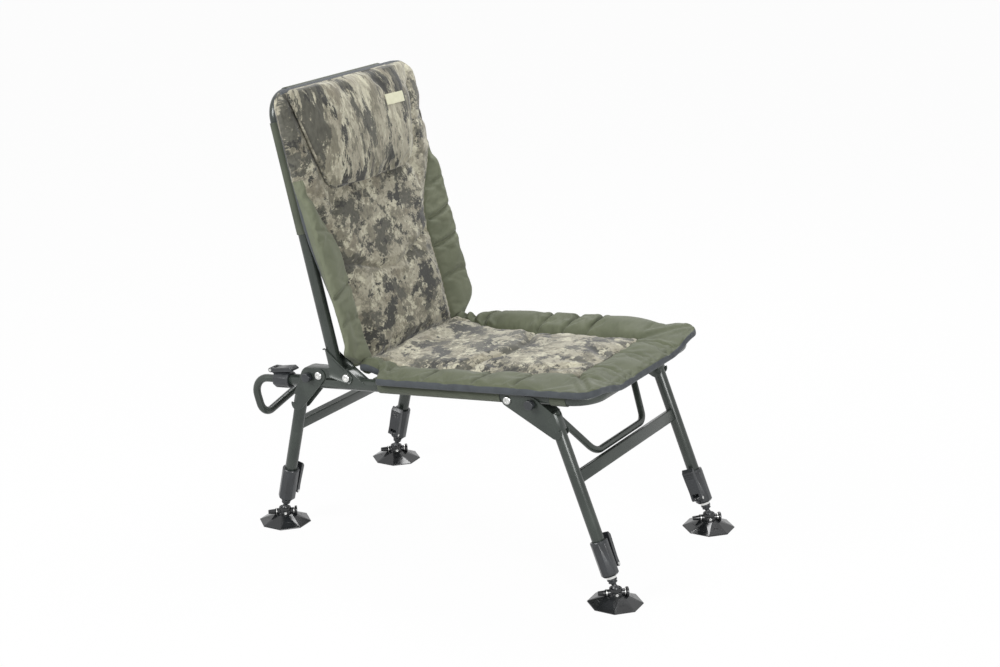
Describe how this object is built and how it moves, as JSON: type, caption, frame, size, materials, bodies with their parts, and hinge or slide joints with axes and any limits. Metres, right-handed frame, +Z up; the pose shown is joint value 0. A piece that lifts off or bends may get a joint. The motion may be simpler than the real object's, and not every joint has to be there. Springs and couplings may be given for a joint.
{
  "type": "folding fishing chair",
  "caption": "Folding carp fishing chair with padded camouflage seat, back and head pillow, telescopic legs on swivelling mud feet and a sliding rear support bar.",
  "frame": {"origin": "on the ground under the middle of the chair's overall length, on its middle plane", "axes": "+Z up, -Y the way the sitter faces, +X towards the sitter's left"},
  "size_m": [0.5222, 0.8968, 0.9165],
  "materials": {
    "frame_coat": "satin grey-green powder coat",
    "black_plastic": "moulded satin",
    "bright_steel": "zinc plated",
    "olive_fabric": "woven polyester",
    "camo_fabric": "printed peached polyester over foam",
    "cream_tag": "smooth sewn tag"
  },
  "bodies": {
    "seat": {"seat_frame": "frame_coat", "seat_sling": "olive_fabric", "seat_cushion": "camo_fabric", "rear_bracket_left": "frame_coat", "rear_bracket_right": "frame_coat", "back_hinge_bolt_left": "bright_steel", "back_hinge_bolt_right": "bright_steel", "front_hinge_bolt_left": "bright_steel", "front_hinge_bolt_right": "bright_steel", "rear_hinge_bolt_left": "bright_steel", "rear_hinge_bolt_right": "bright_steel", "tail_clamp_left": "black_plastic", "tail_clamp_right": "black_plastic"},
    "back": {"back_frame": "frame_coat", "back_plate_left": "frame_coat", "back_plate_right": "frame_coat", "back_sling": "olive_fabric", "back_cushion": "camo_fabric", "head_pillow": "camo_fabric", "pillow_tag": "cream_tag"},
    "front_legs": {"front_left_leg_tube": "frame_coat", "front_left_leg_plate": "frame_coat", "front_left_clamp": "black_plastic", "front_right_leg_tube": "frame_coat", "front_right_leg_plate": "frame_coat", "front_right_clamp": "black_plastic", "front_crossbar": "frame_coat", "front_brace": "frame_coat"},
    "rear_legs": {"rear_left_leg_tube": "frame_coat", "rear_left_leg_plate": "frame_coat", "rear_left_clamp": "black_plastic", "rear_right_leg_tube": "frame_coat", "rear_right_leg_plate": "frame_coat", "rear_right_clamp": "black_plastic", "rear_crossbar": "frame_coat"},
    "rear_bar": {"rear_bar": "frame_coat"},
    "tail_lever_left": {"tail_lever_left": "black_plastic"},
    "tail_lever_right": {"tail_lever_right": "black_plastic"},
    "front_left_extension": {"front_left_inner_leg": "bright_steel", "front_left_ball_stem": "black_plastic"},
    "front_left_foot": {"front_left_mud_foot": "black_plastic"},
    "front_left_lever": {"front_left_clamp_lever": "black_plastic"},
    "front_lock_left": {"front_lock_pin_left": "black_plastic"},
    "front_right_extension": {"front_right_inner_leg": "bright_steel", "front_right_ball_stem": "black_plastic"},
    "front_right_foot": {"front_right_mud_foot": "black_plastic"},
    "front_right_lever": {"front_right_clamp_lever": "black_plastic"},
    "front_lock_right": {"front_lock_pin_right": "black_plastic"},
    "rear_left_extension": {"rear_left_inner_leg": "bright_steel", "rear_left_ball_stem": "black_plastic"},
    "rear_left_foot": {"rear_left_mud_foot": "black_plastic"},
    "rear_left_lever": {"rear_left_clamp_lever": "black_plastic"},
    "rear_lock_left": {"rear_lock_pin_left": "black_plastic"},
    "rear_right_extension": {"rear_right_inner_leg": "bright_steel", "rear_right_ball_stem": "black_plastic"},
    "rear_right_foot": {"rear_right_mud_foot": "black_plastic"},
    "rear_right_lever": {"rear_right_clamp_lever": "black_plastic"},
    "rear_lock_right": {"rear_lock_pin_right": "black_plastic"}
  },
  "joints": [
    {"name": "back_fold", "type": "hinge", "parent": "seat", "child": "back", "pos_m": [0, 0.20318, 0.35], "axis": [1, 0, 0], "range_deg": [0, 92], "deforming": ["seat_cushion", "back_cushion", "head_pillow", "pillow_tag"]},
    {"name": "front_legs_fold", "type": "hinge", "parent": "seat", "child": "front_legs", "pos_m": [0, -0.16784, 0.37104], "axis": [1, 0, 0], "range_deg": [0, 77]},
    {"name": "rear_legs_fold", "type": "hinge", "parent": "seat", "child": "rear_legs", "pos_m": [0, 0.27087, 0.3434], "axis": [-1, 0, 0], "range_deg": [0, 98]},
    {"name": "rear_bar_slide", "type": "slide", "parent": "seat", "child": "rear_bar", "axis": [0, 0.9935, -0.1139], "range_m": [0, 0.12]},
    {"name": "tail_lever_left_turn", "type": "hinge", "parent": "seat", "child": "tail_lever_left", "pos_m": [0.21, 0.39448, 0.33295], "axis": [-1, 0, 0], "range_deg": [0, 115]},
    {"name": "tail_lever_right_turn", "type": "hinge", "parent": "seat", "child": "tail_lever_right", "pos_m": [-0.21, 0.39448, 0.33295], "axis": [-1, 0, 0], "range_deg": [0, 115]},
    {"name": "front_left_leg_slide", "type": "slide", "parent": "front_legs", "child": "front_left_extension", "axis": [0, 0.3889, 0.9213], "range_m": [-0.15, 0.004]},
    {"name": "front_left_foot_tilt", "type": "hinge", "parent": "front_left_extension", "child": "front_left_foot", "pos_m": [0.21, -0.39731, 0.028], "axis": [0.6428, -0.766, 0], "range_deg": [-20, 20]},
    {"name": "front_left_lever_turn", "type": "hinge", "parent": "front_legs", "child": "front_left_lever", "pos_m": [0.1888, -0.38078, 0.06716], "axis": [0, -0.9213, 0.3889], "range_deg": [0, 115]},
    {"name": "front_lock_left_pull", "type": "slide", "parent": "front_legs", "child": "front_lock_left", "axis": [1, 0, 0], "range_m": [0, 0.008], "stiffness_N_per_m": 600, "springref_m": -0.006},
    {"name": "front_right_leg_slide", "type": "slide", "parent": "front_legs", "child": "front_right_extension", "axis": [0, 0.3889, 0.9213], "range_m": [-0.15, 0.004]},
    {"name": "front_right_foot_tilt", "type": "hinge", "parent": "front_right_extension", "child": "front_right_foot", "pos_m": [-0.21, -0.39731, 0.028], "axis": [0.6428, -0.766, 0], "range_deg": [-20, 20]},
    {"name": "front_right_lever_turn", "type": "hinge", "parent": "front_legs", "child": "front_right_lever", "pos_m": [-0.1888, -0.38078, 0.06716], "axis": [0, 0.9213, -0.3889], "range_deg": [0, 115]},
    {"name": "front_lock_right_pull", "type": "slide", "parent": "front_legs", "child": "front_lock_right", "axis": [-1, 0, 0], "range_m": [0, 0.008], "stiffness_N_per_m": 600, "springref_m": -0.006},
    {"name": "rear_left_leg_slide", "type": "slide", "parent": "rear_legs", "child": "rear_left_extension", "axis": [0, -0.2058, 0.9786], "range_m": [-0.15, 0.0015]},
    {"name": "rear_left_foot_tilt", "type": "hinge", "parent": "rear_left_extension", "child": "rear_left_foot", "pos_m": [0.21, 0.3787, 0.028], "axis": [0.6428, -0.766, 0], "range_deg": [-20, 20]},
    {"name": "rear_left_lever_turn", "type": "hinge", "parent": "rear_legs", "child": "rear_left_lever", "pos_m": [0.1888, 0.37056, 0.06665], "axis": [0, -0.9786, -0.2058], "range_deg": [0, 115]},
    {"name": "rear_lock_left_pull", "type": "slide", "parent": "rear_legs", "child": "rear_lock_left", "axis": [1, 0, 0], "range_m": [0, 0.008], "stiffness_N_per_m": 600, "springref_m": -0.006},
    {"name": "rear_right_leg_slide", "type": "slide", "parent": "rear_legs", "child": "rear_right_extension", "axis": [0, -0.2058, 0.9786], "range_m": [-0.15, 0.0015]},
    {"name": "rear_right_foot_tilt", "type": "hinge", "parent": "rear_right_extension", "child": "rear_right_foot", "pos_m": [-0.21, 0.3787, 0.028], "axis": [0.6428, -0.766, 0], "range_deg": [-20, 20]},
    {"name": "rear_right_lever_turn", "type": "hinge", "parent": "rear_legs", "child": "rear_right_lever", "pos_m": [-0.1888, 0.37056, 0.06665], "axis": [0, 0.9786, 0.2058], "range_deg": [0, 115]},
    {"name": "rear_lock_right_pull", "type": "slide", "parent": "rear_legs", "child": "rear_lock_right", "axis": [-1, 0, 0], "range_m": [0, 0.008], "stiffness_N_per_m": 600, "springref_m": -0.006}
  ]
}
